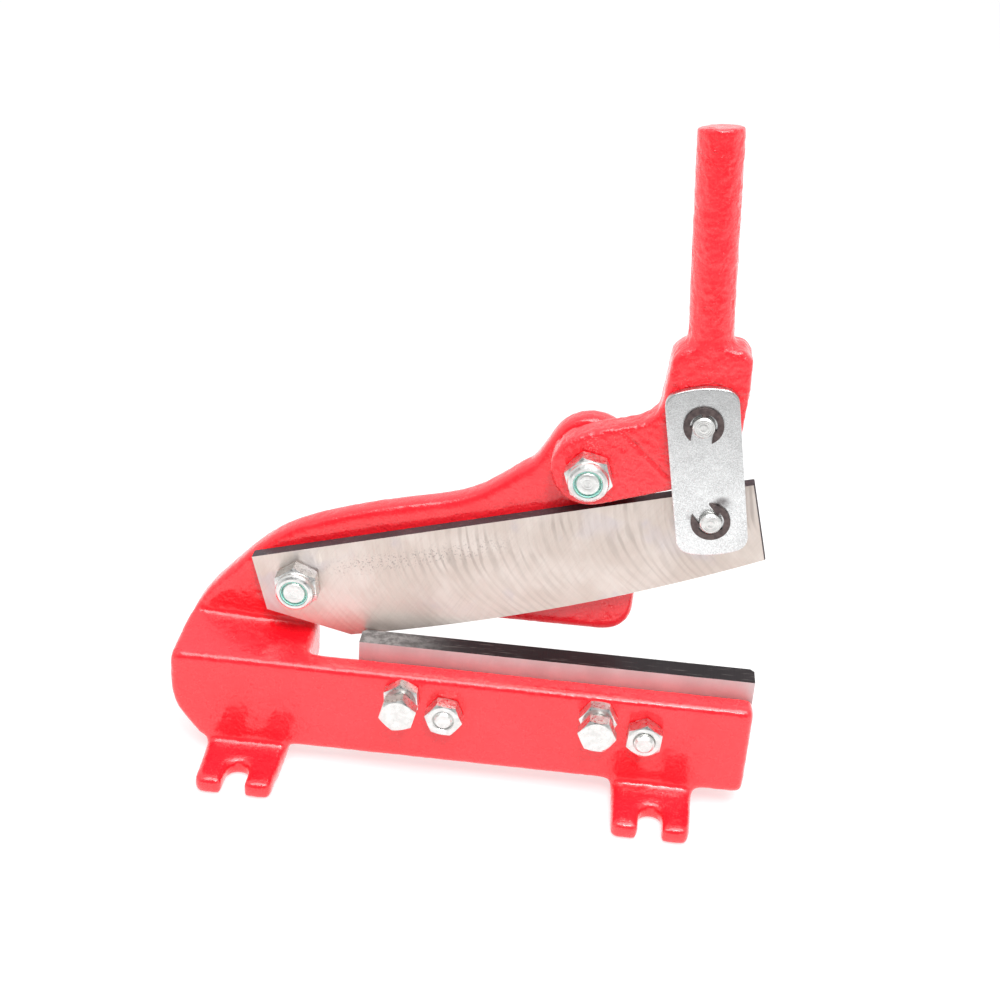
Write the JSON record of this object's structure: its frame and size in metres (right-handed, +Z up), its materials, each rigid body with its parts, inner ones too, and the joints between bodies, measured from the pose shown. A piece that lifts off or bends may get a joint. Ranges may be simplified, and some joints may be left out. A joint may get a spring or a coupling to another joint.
{
  "type": "bench shear",
  "caption": "Hand lever bench shear for sheet metal: cast frame on slotted feet, fixed lower blade, swinging upper blade driven by a lever through link plates.",
  "frame": {"origin": "middle of the overall bounding box, on the bench face", "axes": "+X along the fixed blade from the closed end of the throat to the open end, +Y from the operator's side to the back, +Z up"},
  "size_m": [0.2294, 0.0694, 0.2671],
  "materials": {
    "red_enamel": "gloss over rough casting",
    "ground_steel": "surface ground",
    "zinc_plate": "bright zinc plate",
    "spring_steel": "oiled black",
    "nylon": "matte"
  },
  "bodies": {
    "frame": {"frame_casting": "red_enamel", "lower_blade": "ground_steel", "clamp_bolt_left": "zinc_plate", "clamp_bolt_right": "zinc_plate", "clamp_nut_left": "zinc_plate", "clamp_nut_right": "zinc_plate", "adjusting_bolt_left": "zinc_plate", "adjusting_bolt_right": "zinc_plate", "jam_nut_left": "zinc_plate", "jam_nut_right": "zinc_plate", "blade_pivot_bolt": "zinc_plate", "blade_pivot_nut": "zinc_plate", "blade_pivot_insert": "nylon", "lever_pivot_bolt": "zinc_plate", "lever_pivot_nut": "zinc_plate", "lever_pivot_insert": "nylon"},
    "moving_blade": {"upper_blade": "ground_steel"},
    "lever": {"lever": "red_enamel"},
    "links": {"link_front": "zinc_plate", "link_back": "zinc_plate", "link_pin_upper": "zinc_plate", "link_pin_lower": "zinc_plate", "ring_upper_front": "spring_steel", "ring_upper_back": "spring_steel", "ring_lower_front": "spring_steel", "ring_lower_back": "spring_steel", "spacer_front": "zinc_plate", "spacer_back": "zinc_plate"}
  },
  "joints": [
    {"name": "lever_swing", "type": "hinge", "parent": "frame", "child": "lever", "pos_m": [0.0424, 0.01435, 0.1358], "axis": [0, 1, 0], "range_deg": [0, 58]},
    {"name": "blade_swing", "type": "hinge", "parent": "frame", "child": "moving_blade", "pos_m": [-0.0668, 0.01435, 0.073], "axis": [0, 1, 0], "range_deg": [0, 16.2]},
    {"name": "link_swing", "type": "hinge", "parent": "lever", "child": "links", "pos_m": [0.0816, 0.01435, 0.1604], "axis": [0, 1, 0], "range_deg": [-61.5, 0]}
  ],
  "couplings": [
    {"joint": "blade_swing", "follows": "lever_swing", "ratio": 0.2752},
    {"joint": "link_swing", "follows": "lever_swing", "ratio": -1.0487}
  ]
}
